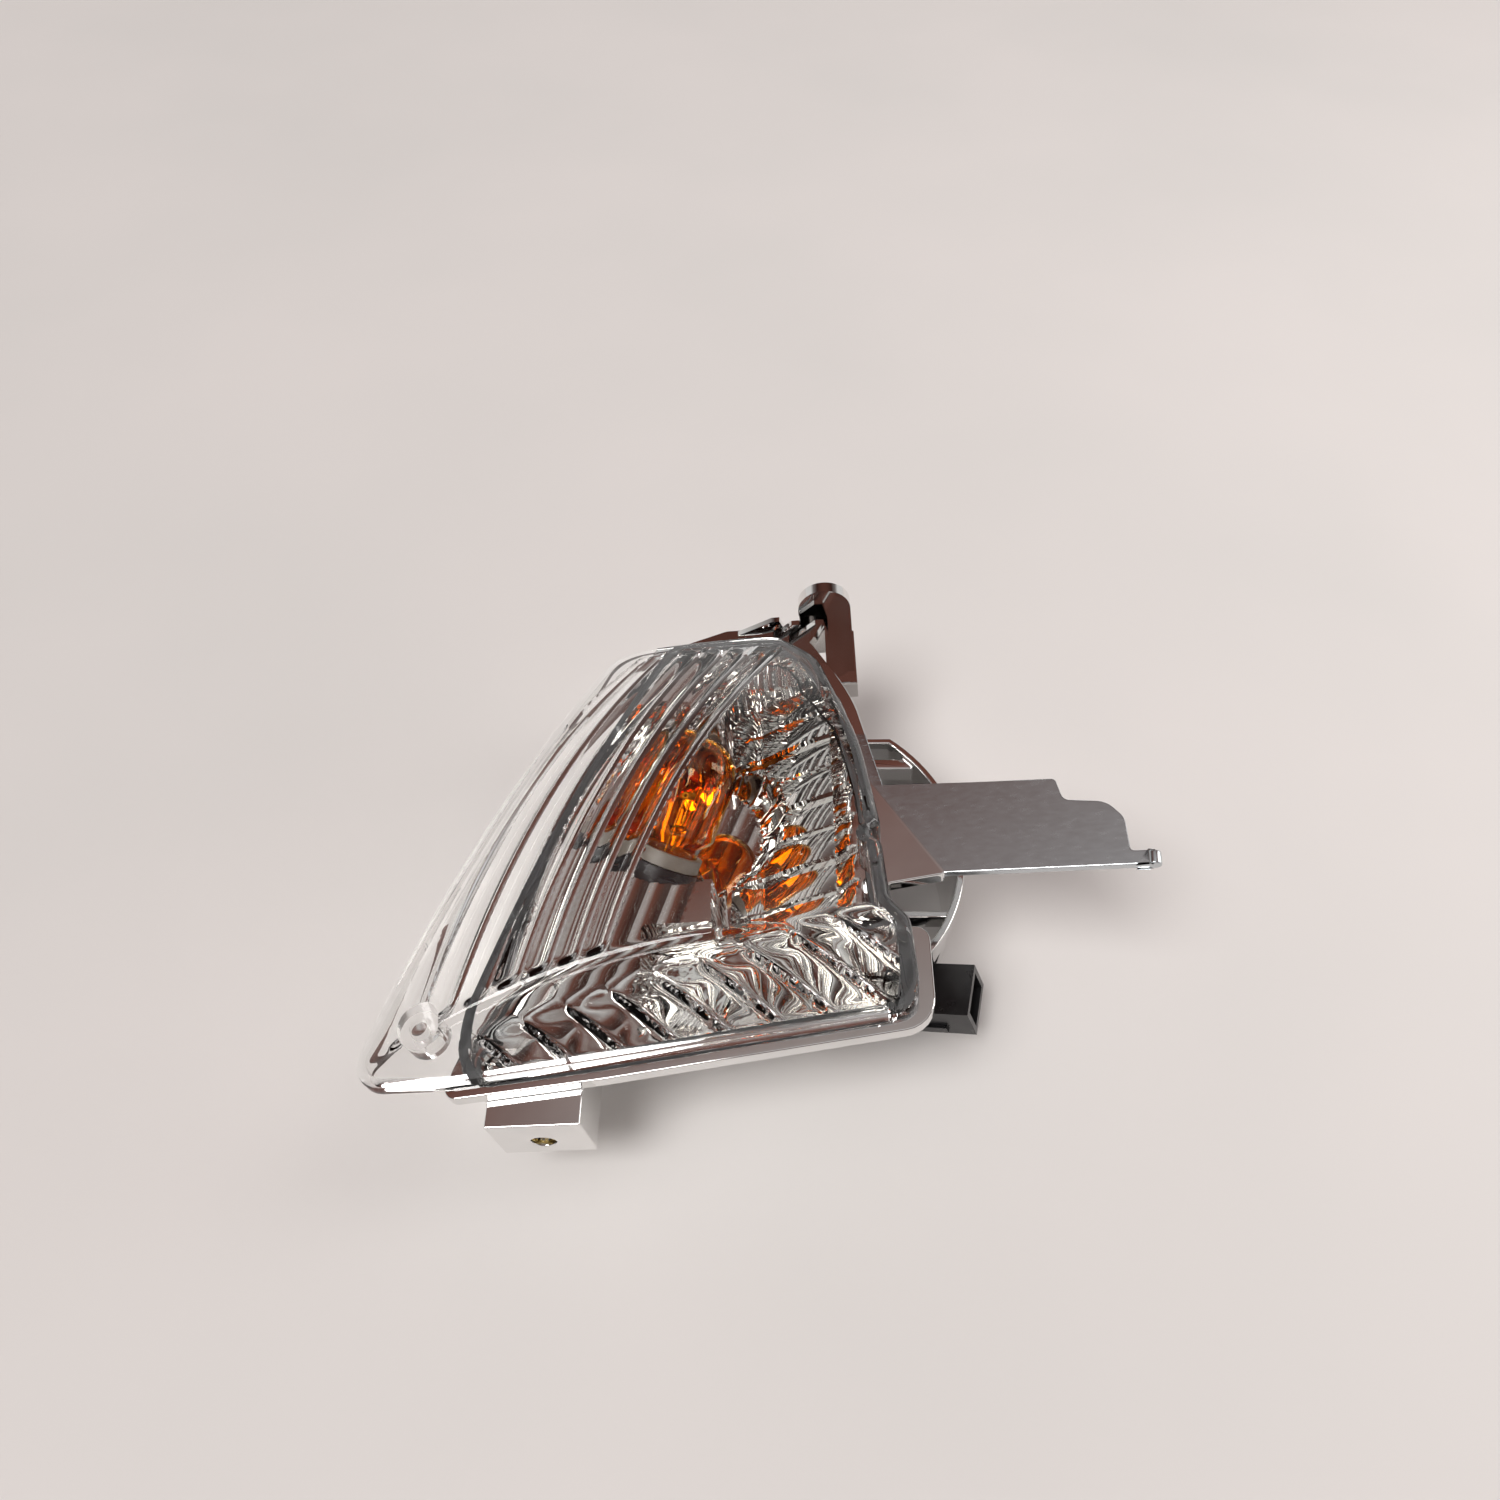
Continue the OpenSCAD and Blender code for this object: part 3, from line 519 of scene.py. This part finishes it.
def flute_curve(w, t):
    """The point at t along the long flute at w, from 0 at the left edge to 1 at the last one."""
    wave = np.clip(w, 0, 1)
    foot = (-70 + 43 * w, -58 - 8 * np.sin(math.pi * wave) + 1.5 * w)
    bow = (-56 + 39 * w, -10 - 2 * w)
    top = (-33 + 40 * w, 24 + 8 * np.sin(math.radians(150) * wave))
    return [(1 - t) ** 2 * foot[i] + 2 * t * (1 - t) * bow[i] + t ** 2 * top[i] for i in (0, 1)]


def flute_number(x, y):
    """Where a point lies across the long flutes: 0 at the left edge, FLUTES at the last one."""
    w = np.linspace(-0.15, 1.15, 53)
    xs, ys = flute_curve(w, np.linspace(-0.15, 1.15, 131)[:, None])
    levels = np.linspace(-80, 42, 489)
    table = np.array([np.interp(levels, ys[:, k], xs[:, k]) for k in range(len(w))])
    fine = np.linspace(-90, 40, 521)
    across = np.array([np.interp(fine, table[:, j], w) for j in range(len(levels))])
    row = np.clip((y - levels[0]) / (levels[1] - levels[0]), 0, len(levels) - 1.001)
    column = np.clip((x - fine[0]) / (fine[1] - fine[0]), 0, len(fine) - 1.001)
    j, i = row.astype(int), column.astype(int)
    fj, fi = row - j, column - i
    value = ((across[j, i] * (1 - fi) + across[j, i + 1] * fi) * (1 - fj)
             + (across[j + 1, i] * (1 - fi) + across[j + 1, i + 1] * fi) * fj)
    return value * FLUTES


def pillow_ends(x):
    """Where the short pillows start and end in y: at the crease and at the foot of the lower band."""
    return -67.6 + 0.262 * (x + 57), -73.4 + 0.118 * (x + 43)


def pillow_grid(x, y):
    """How far a point is down the lower band, 0 to 1, and where it lies across the short pillows."""
    crease_y, foot_y = pillow_ends(x)
    down = np.clip((crease_y - y) / (crease_y - foot_y), -0.5, 1.5)
    return down, (x - PILLOW_START - PILLOW_LEAN * down) / (PILLOW_PITCH + PILLOW_SPREAD * down)


def relief_lines():
    """Points along the valleys between the flutes and between the pillows."""
    t = np.linspace(0.02, 1.08, 260)
    lines = [np.stack(flute_curve(n / FLUTES, t), axis=1) for n in range(FLUTES + 1)]
    down = np.linspace(0, 1, 20)
    for n in range(PILLOWS):
        x = PILLOW_START + PILLOW_LEAN * down + n * (PILLOW_PITCH + PILLOW_SPREAD * down)
        crease_y, foot_y = pillow_ends(x)
        lines.append(np.stack([x, crease_y - down * (crease_y - foot_y)], axis=1))
    return lines


def pillow_arch(part):
    """A convex arch over 0 to 1, 0 at both ends."""
    return np.clip(1 - (2 * part - 1) ** 2, 0, 1)


def lens_relief(x, y, edge):
    """How much thicker the flutes make the lens, from inside."""
    over = crown(x, y) - band(x, y)
    number = flute_number(x, y)
    within = smooth_step(number / 0.15) * (number < FLUTES)
    flutes = FLUTE_DEPTH * pillow_arch(number - np.floor(number)) * within
    flutes = flutes * smooth_step((-over - 0.8) / 2.2) * smooth_step((edge - 3.2) / 1.2)
    down, pillow = pillow_grid(x, y)
    part = pillow - np.floor(pillow)
    side = np.clip(np.minimum(part, 1 - part) / 0.2, 0, 1)
    arch = 0.5 * side * (2 - side) + 0.5 * pillow_arch(part)
    reach = smooth_step((down - 0.02) / 0.3) * np.sqrt(np.clip((1.0 - down) / 0.14, 0, 1))
    kept = (pillow > -0.4) * (pillow < PILLOWS)
    pillows = PILLOW_DEPTH * arch * reach * kept * smooth_step((edge - 2.6) / 0.6)
    return flutes + pillows


def lens_inner(x, y, edge):
    """Height of the lens's inner face, with its flutes and pillows."""
    base = face_height(x, y) - LENS_WALL
    low = base - lens_relief(x, y, edge)
    low = smooth_min(low, crown(x, y) - LENS_WALL, 0.5)
    return np.maximum(low, 0.4)


def make_lens():
    pitch = 0.55
    border = even(rounded(LENS), pitch)
    rings = [even(rounded(inset(LENS, d)), pitch) for d in (0.12, 0.35, 0.7, 1.15, 1.6, 2.1)]
    flat, faces, rim = triangulate(border, rings, pitch, 2.4)
    edge = distance_to(flat, border)
    fall = EDGE_ROUND - np.sqrt(np.maximum(0, EDGE_ROUND ** 2 - np.clip(EDGE_ROUND - edge, 0, None) ** 2))
    top = np.maximum(face_height(flat[:, 0], flat[:, 1]) - fall, 0.6)
    points = [(x, y, z) for (x, y), z in zip(flat, top)]

    wall = even(rounded(inset(LENS, LENS_WALL)), pitch)
    seal = even(rounded(SEAL), 0.4)
    extra = [even(rounded(inset(LENS, LENS_WALL + d)), pitch) for d in (0.12, 0.5, 0.85, 1.2, 1.6, 2.0)]
    extra += [even(rounded(inset(SEAL, d)), pitch) for d in (-1, -0.88, 0.88, 1)]
    extra += relief_lines()
    extra = [line[inside(line, wall) & (distance_to(line, wall) > 0.08)] for line in extra]
    extra += [ring(BOSS_AT, r, 48) for r in (BOSS_R, BOSS_R - 0.12)]
    extra += [ring(BOSS_AT, r, 32) for r in (BOSS_HOLE_R, BOSS_HOLE_R - 0.12)]
    flat, inner_faces, lip = triangulate(wall, extra, pitch, 0.5)
    low = lens_inner(flat[:, 0], flat[:, 1], distance_to(flat, border))
    low[distance_to(flat, seal) < 0.95] = -1.1
    away = np.hypot(flat[:, 0] - BOSS_AT[0], flat[:, 1] - BOSS_AT[1])
    low[away < BOSS_R - 0.05] = 0
    low[away < BOSS_HOLE_R - 0.05] = BOSS_HOLE_DEPTH
    low[lip] = 0
    first = len(points)
    points += [(x, y, z) for (x, y), z in zip(flat, low)]
    faces += [tuple(first + i for i in reversed(face)) for face in inner_faces]

    first_foot = len(points)
    count = len(border)
    points += [(x, y, 0) for x, y in border]
    for k in range(count):
        faces.append((rim[k], first_foot + k, first_foot + (k + 1) % count, rim[(k + 1) % count]))
    faces += lip_faces(border, wall, [first_foot + k for k in range(count)] + [first + k for k in lip])
    lens = add_piece("lens_body", points, faces, RIM, "lamp", CLEAR, 40)
    lens.visible_shadow = False
    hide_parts("lens")


def lip_faces(outline, inline, ids):
    """Triangles of the flat lip between an outer and an inner loop, whose points are ids."""
    outer, inner = len(outline), len(inline)
    joined = np.concatenate([outline, inline])
    edges = [(i, (i + 1) % outer) for i in range(outer)]
    edges += [(outer + i, outer + (i + 1) % inner) for i in range(inner)]
    made = delaunay_2d_cdt([Vector(p) for p in joined], edges, [], 1, 1e-5)
    faces = []
    for face in made[2]:
        corners = [made[3][v][0] for v in face]
        middle = joined[corners].mean(axis=0)[None, :]
        if not inside(middle, inline)[0]:
            faces.append(tuple(ids[i] for i in reversed(corners)))
    return faces


# ------------------------------------------------------------------ reflector
TRAY = [(-59.8, -76.6, 4), (-29.8, -73.8, 90), (32.8, -65.6, 7), (32.6, -48, 3), (29, -45, 2.5),
        (27.8, -34, 2), (26.4, -12, 40), (21.5, 14, 40), (11, 35, 9), (-18, 36.8, 5)]
TRAY_GAP = 2.3
TRAY_FLOOR = -27.7
SHELF = -5
BOWL_R = 24
BOWL_ALONG = 22
BOWL_FLUTES = 20
FLOOR = -25.6
REFLECTOR_WALL = 1.5
STEP_Y = (-40, 29)
STEP_ROWS = 8
STEP_TILT = 1.3
STEPS_LEFT = -9
COLUMNS = ((26, -3), (18.5, -9.6), (1, -18.4), (-7, -22))
FAN_AT = (-40, -43)
FAN_FLUTES = 5
FAN_SPREAD = 26
FAN_LEFT = -24
FAN_Y = (-40, -66)
FAN_Z = (-22.5, -4.5)
TOP_PATCH_X = (-8, 16)
SLOPE_AT = (0, -70, -5)
SLOPE_TURN = 6.7
SLOPE_LEAN = 41
SCREWS = ((10, -36), (8, 22), (-14, 27))
POCKET_R = 15
POCKET_TOP = 2.7
LUG_R = 12.1
LUG_TOP = 5.8
POST_R = 2.8
POST_BORE = 1.5
BRIGHT_CREASE = 24
BOWL = RIM.inverted() @ BULB @ Vector((0, 0, BOWL_ALONG))


def slope_height(x, y, depth):
    """Height of the housing's leaning lower wall, moved inwards by depth."""
    turn, lean = math.radians(SLOPE_TURN), math.radians(SLOPE_LEAN)
    nx, ny, nz = -math.sin(turn) * math.cos(lean), math.cos(turn) * math.cos(lean), math.sin(lean)
    return SLOPE_AT[2] + (depth - nx * (x - SLOPE_AT[0]) - ny * (y - SLOPE_AT[1])) / nz


def bowl_height(x, y):
    dx, dy = x - BOWL.x, y - BOWL.y
    away = np.hypot(dx, dy)
    turn = np.arctan2(dy, dx) * BOWL_FLUTES / (2 * math.pi)
    flutes = 0.3 * pillow_arch(turn - np.floor(turn)) * smooth_step((away - 6) / 8)
    reach = BOWL_R - flutes
    return np.where(away < reach, BOWL.z - np.sqrt(np.maximum(reach ** 2 - away ** 2, 0)), SHELF)


def steps_height(x, y):
    """The rows of convex facets on the right, each row tipped back with a riser in front."""
    row = (y - STEP_Y[0]) / (STEP_Y[1] - STEP_Y[0]) * STEP_ROWS
    v = row - np.floor(row)
    level = np.full(x.shape, 0.0)
    across = np.full(x.shape, 0.0)
    for (right, high), (left, low) in zip(COLUMNS, COLUMNS[1:]):
        u = (x - left) / (right - left)
        here = (u >= 0) & (u < 1)
        level = np.where(here, low + (high - low) * u, level)
        across = np.where(here, pillow_arch(u), across)
    bulge = 0.34 * pillow_arch(v) + 0.6 * across
    lift = STEP_TILT * (0.5 - v) + 0.2 * np.where(np.floor(row) % 2 == 0, 1, -1)
    result = level + bulge + lift
    result = np.where(x < COLUMNS[-1][0], FLOOR, result)
    outside = (row < 0) | (row >= STEP_ROWS) | (x > COLUMNS[0][0]) | (x < STEPS_LEFT)
    return np.where(outside, SHELF, result)


def fan_height(x, y):
    """The lower wall of the reflector, with long flutes that spread from its left corner."""
    depth = np.clip((y - FAN_Y[0]) / (FAN_Y[1] - FAN_Y[0]), 0, 1)
    base = FAN_Z[0] + (FAN_Z[1] - FAN_Z[0]) * depth ** 1.15
    turn = np.degrees(np.arctan2(y - FAN_AT[1], x - FAN_AT[0]))
    part = (turn + FAN_SPREAD) / FAN_SPREAD * FAN_FLUTES
    bulge = 0.75 * pillow_arch(part - np.floor(part))
    outside = (x < FAN_LEFT) | (y > FAN_Y[0])
    return np.where(outside, SHELF, base + bulge)


def top_patch_height(x, y):
    """The short upright flutes above the top row."""
    depth = np.clip((36 - y) / 7, 0, 1)
    part = (x - TOP_PATCH_X[0]) / 2.6
    outside = (x < TOP_PATCH_X[0]) | (x > TOP_PATCH_X[1]) | (y < STEP_Y[1])
    return np.where(outside, SHELF, SHELF - 6 * depth + 0.6 * pillow_arch(part - np.floor(part)))


def reflector_height(x, y):
    """Height of the mirror face in the rim frame."""
    deep = np.minimum(bowl_height(x, y), steps_height(x, y))
    deep = np.minimum(deep, fan_height(x, y))
    deep = np.minimum(deep, top_patch_height(x, y))
    deep = np.minimum(np.maximum(deep, FLOOR), SHELF)
    return np.maximum(deep, slope_height(x, y, TRAY_GAP + 1.3))


def reflector_back(x, y):
    """Height of the back face, a wall's thickness behind the mirror face in every direction."""
    back = reflector_height(x, y) - REFLECTOR_WALL
    for reach in (0.5, 1.0):
        drop = REFLECTOR_WALL * math.sqrt(1 - reach ** 2 * 0.98)
        for turn in np.linspace(0, 2 * math.pi, 10, endpoint=False):
            dx, dy = REFLECTOR_WALL * reach * math.cos(turn), REFLECTOR_WALL * reach * math.sin(turn)
            back = np.minimum(back, reflector_height(x + dx, y + dy) - drop)
    return np.maximum(np.maximum(back, TRAY_FLOOR), slope_height(x, y, TRAY_GAP))


def facet_lines():
    """Grid points that follow the facets, with a close pair at each riser and column edge."""
    pitch = (STEP_Y[1] - STEP_Y[0]) / STEP_ROWS
    ys = [STEP_Y[0] - 0.03]
    for row in range(STEP_ROWS):
        ys.extend(STEP_Y[0] + pitch * (row + np.linspace(0.004, 0.996, 12)))
    ys.append(STEP_Y[1] + 0.03)
    xs = [-9.03, -7.03]
    for (right, _), (left, _) in zip(COLUMNS, COLUMNS[1:]):
        xs.extend(np.linspace(right, left, round((right - left) / 0.65))[:-1])
    xs += [COLUMNS[0][0] + 0.03, -7, -8, -9]
    xs = sorted(set(xs))
    gx, gy = np.meshgrid(np.array(xs), np.array(ys))
    return np.stack([gx.ravel(), gy.ravel()], axis=1)


def valley_lines():
    """Points along the valleys between the flutes of the bowl and of the lower wall."""
    lines = []
    for k in range(BOWL_FLUTES):
        turn = 2 * math.pi * k / BOWL_FLUTES
        reach = np.arange(6, BOWL_R, 0.5)
        lines.append(np.stack([BOWL.x + reach * math.cos(turn), BOWL.y + reach * math.sin(turn)], axis=1))
    for k in range(FAN_FLUTES + 1):
        turn = math.radians(FAN_SPREAD * (k / FAN_FLUTES - 1))
        reach = np.arange(18, 80, 0.5)
        ray = np.stack([FAN_AT[0] + reach * math.cos(turn), FAN_AT[1] + reach * math.sin(turn)], axis=1)
        lines.append(ray[(ray[:, 1] < STEP_Y[0] - 0.3) & (ray[:, 0] > FAN_LEFT)])
    return lines


def cut(piece, cutter):
    """Take cutter's solid out of piece, and drop the cutter."""
    tool = piece.modifiers.new("cut", "BOOLEAN")
    tool.object = cutter
    tool.solver = "EXACT"
    shape = bpy.data.meshes.new_from_object(piece.evaluated_get(bpy.context.evaluated_depsgraph_get()))
    piece.modifiers.clear()
    piece.data = shape
    bpy.data.objects.remove(cutter)


def add_cutter(radius, low, high):
    """A plain cylinder on the bulb's axis, for cutting only."""
    points, faces = lathe([(0, low), (radius, low), (radius, high), (0, high)], 96)
    mesh = bpy.data.meshes.new("cutter")
    mesh.from_pydata([(BULB @ Vector(p)) * MM for p in points], [], faces)
    cutter = bpy.data.objects.new("cutter", mesh)
    bpy.context.collection.objects.link(cutter)
    return cutter


def lathe(profile, sides):
    """A closed solid turned from a profile of (radius, height), which starts and ends at any radius."""
    points, rows = [], []
    for radius, height in profile:
        if radius == 0:
            rows.append([len(points)])
            points.append((0, 0, height))
        else:
            rows.append([len(points) + k for k in range(sides)])
            points += [(radius * math.cos(2 * math.pi * k / sides), radius * math.sin(2 * math.pi * k / sides),
                        height) for k in range(sides)]
    faces = []
    for lower, upper in zip(rows, rows[1:] + rows[:1]):
        for k in range(sides):
            quad = [lower[k % len(lower)], lower[(k + 1) % len(lower)],
                    upper[(k + 1) % len(upper)], upper[k % len(upper)]]
            face = tuple(dict.fromkeys(quad))
            if len(face) > 2:
                faces.append(face)
    return points, faces


def make_reflector():
    pitch = 0.55
    border = even(rounded(inset(TRAY, TRAY_GAP)), pitch)
    facets = facet_lines()
    valleys = np.concatenate(valley_lines())
    boxed = ((valleys[:, 0] > -9.4) & (valleys[:, 0] < COLUMNS[0][0] + 0.4)
             & (valleys[:, 1] > STEP_Y[0] - 0.3) & (valleys[:, 1] < STEP_Y[1] + 0.3))
    lines = [line[inside(line, border)] for line in (facets, valleys[~boxed])]
    lines = [line[distance_to(line, border) > 0.2] for line in lines]
    flat, faces, edge = triangulate(border, lines, pitch, 0.35)
    x, y = flat[:, 0], flat[:, 1]
    top, low = reflector_height(x, y), reflector_back(x, y)
    low = np.minimum(low, top - 0.3)
    count = len(flat)
    points = [(*p, z) for p, z in zip(flat, top)] + [(*p, z) for p, z in zip(flat, low)]
    faces += [tuple(count + i for i in reversed(face)) for face in faces]
    for k, i in enumerate(edge):
        j = edge[(k + 1) % len(edge)]
        faces.append((i, count + i, count + j, j))
    reflector = add_piece("reflector_bowl", points, faces, RIM, "lamp", BRIGHT, BRIGHT_CREASE)
    cut(reflector, add_cutter(POCKET_R, -60, POCKET_TOP))
    cut(reflector, add_cutter(LUG_R, -1, LUG_TOP))
    sharpen(reflector.data, BRIGHT_CREASE)
    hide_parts("reflector")
    for k, (x, y) in enumerate(SCREWS):
        high = float(reflector_back(np.array([x]), np.array([y]))[0]) + 0.4
        profile = [(POST_BORE, TRAY_FLOOR), (POST_R, TRAY_FLOOR), (POST_R, high), (POST_BORE, high)]
        points, faces = lathe(profile, 32)
        post = add_piece(f"reflector_post_{k + 1}", [(px + x, py + y, pz) for px, py, pz in points], faces,
                         RIM, "lamp", BRIGHT)


# ------------------------------------------------------------------ housing
EDGE_ROUNDING = 0.35
# Beyond this y, in the lamp's own frame, are the top tab and fins, whose walls are too thin to round.
THIN_WALLS_Y = 43


def make_housing():
    """The housing's own shape with its moulded edges rounded."""
    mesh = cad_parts["housing"].data.copy()
    work = bmesh.new()
    work.from_mesh(mesh)
    bmesh.ops.remove_doubles(work, verts=work.verts, dist=0.000002)
    bmesh.ops.dissolve_limit(work, angle_limit=math.radians(1.5), verts=work.verts, edges=work.edges)
    weight = work.edges.layers.float.new("bevel_weight_edge")
    for edge in work.edges:
        middle = (edge.verts[0].co + edge.verts[1].co) / 2
        angle = math.degrees(edge.calc_face_angle(180))
        bevelled = 50 < angle < 179 and middle.y < THIN_WALLS_Y * MM
        edge[weight] = 1.0 if bevelled else 0.0
        edge.smooth = bevelled or angle < 35
    work.to_mesh(mesh)
    work.free()
    housing = bpy.data.objects.new("housing_shell", mesh)
    bpy.context.collection.objects.link(housing)
    rounding = housing.modifiers.new("rounding", "BEVEL")
    rounding.width = EDGE_ROUNDING * MM
    rounding.segments = 2
    rounding.limit_method = "WEIGHT"
    rounding.use_clamp_overlap = False
    level = housing.modifiers.new("level", "WEIGHTED_NORMAL")
    level.mode = "FACE_AREA"
    level.weight = 100
    level.keep_sharp = True
    for face in mesh.polygons:
        face.use_smooth = True
    bpy.context.view_layer.update()
    shape = bpy.data.meshes.new_from_object(housing.evaluated_get(bpy.context.evaluated_depsgraph_get()))
    housing.modifiers.clear()
    housing.data = shape
    shape.materials.clear()
    shape.materials.append(CHROME)
    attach(housing, "lamp")
    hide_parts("housing")


# ------------------------------------------------------------------ bulb
GLASS_WALL = 0.9
GLASS_R = 9.5
GLASS_TIP = 38
GLASS_FOOT = 7.8
NECK_R = 7.1
SHOULDER_TOP = 15.5
SHOULDER_LENGTH = 4.5


def glass_outline(offset):
    """The bulb's profile from its tip down to its foot, moved inwards by offset."""
    middle = GLASS_TIP - GLASS_R
    profile = []
    for angle in np.linspace(90, 0, 25):
        radius = (GLASS_R - offset) * math.cos(math.radians(angle))
        height = middle + (GLASS_R - offset) * math.sin(math.radians(angle))
        profile.append((radius if angle < 90 else 0, height))
    for part in np.linspace(0, 1, 13):
        blend = float(smooth_step(part))
        profile.append((GLASS_R + (NECK_R - GLASS_R) * blend - offset, SHOULDER_TOP - SHOULDER_LENGTH * part))
    profile.append((NECK_R - offset, GLASS_FOOT))
    return profile


def make_bulb_glass():
    points, faces = lathe(glass_outline(0) + glass_outline(GLASS_WALL)[::-1], 96)
    glass = add_piece("bulb_envelope", points, faces, BULB, "bulb", AMBER)
    glass.visible_shadow = False
    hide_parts("bulb_glass")


# ------------------------------------------------------------------ floor
FLOOR_REACH = 12
FLOOR_Z = -0.0001


def add_floor():
    mesh = bpy.data.meshes.new("floor")
    corners = [(x * FLOOR_REACH, y * FLOOR_REACH, FLOOR_Z) for x, y in ((-1, -1), (1, -1), (1, 1), (-1, 1))]
    mesh.from_pydata(corners, [], [(0, 1, 2, 3)])
    floor = bpy.data.objects.new("floor", mesh)
    bpy.context.collection.objects.link(floor)
    floor_material = new_material("pale_floor", (0.78, 0.765, 0.75), roughness=0.55)
    vary_colour(floor_material, add_noise(floor_material, 0.006, 3), (0.79, 0.765, 0.75), (0.75, 0.735, 0.72))
    mesh.materials.append(floor_material)


# ------------------------------------------------------------------ build
paint_nodes()
make_lens()
make_reflector()
make_bulb_glass()
make_housing()
add_studio()
add_floor()
bpy.context.view_layer.update()
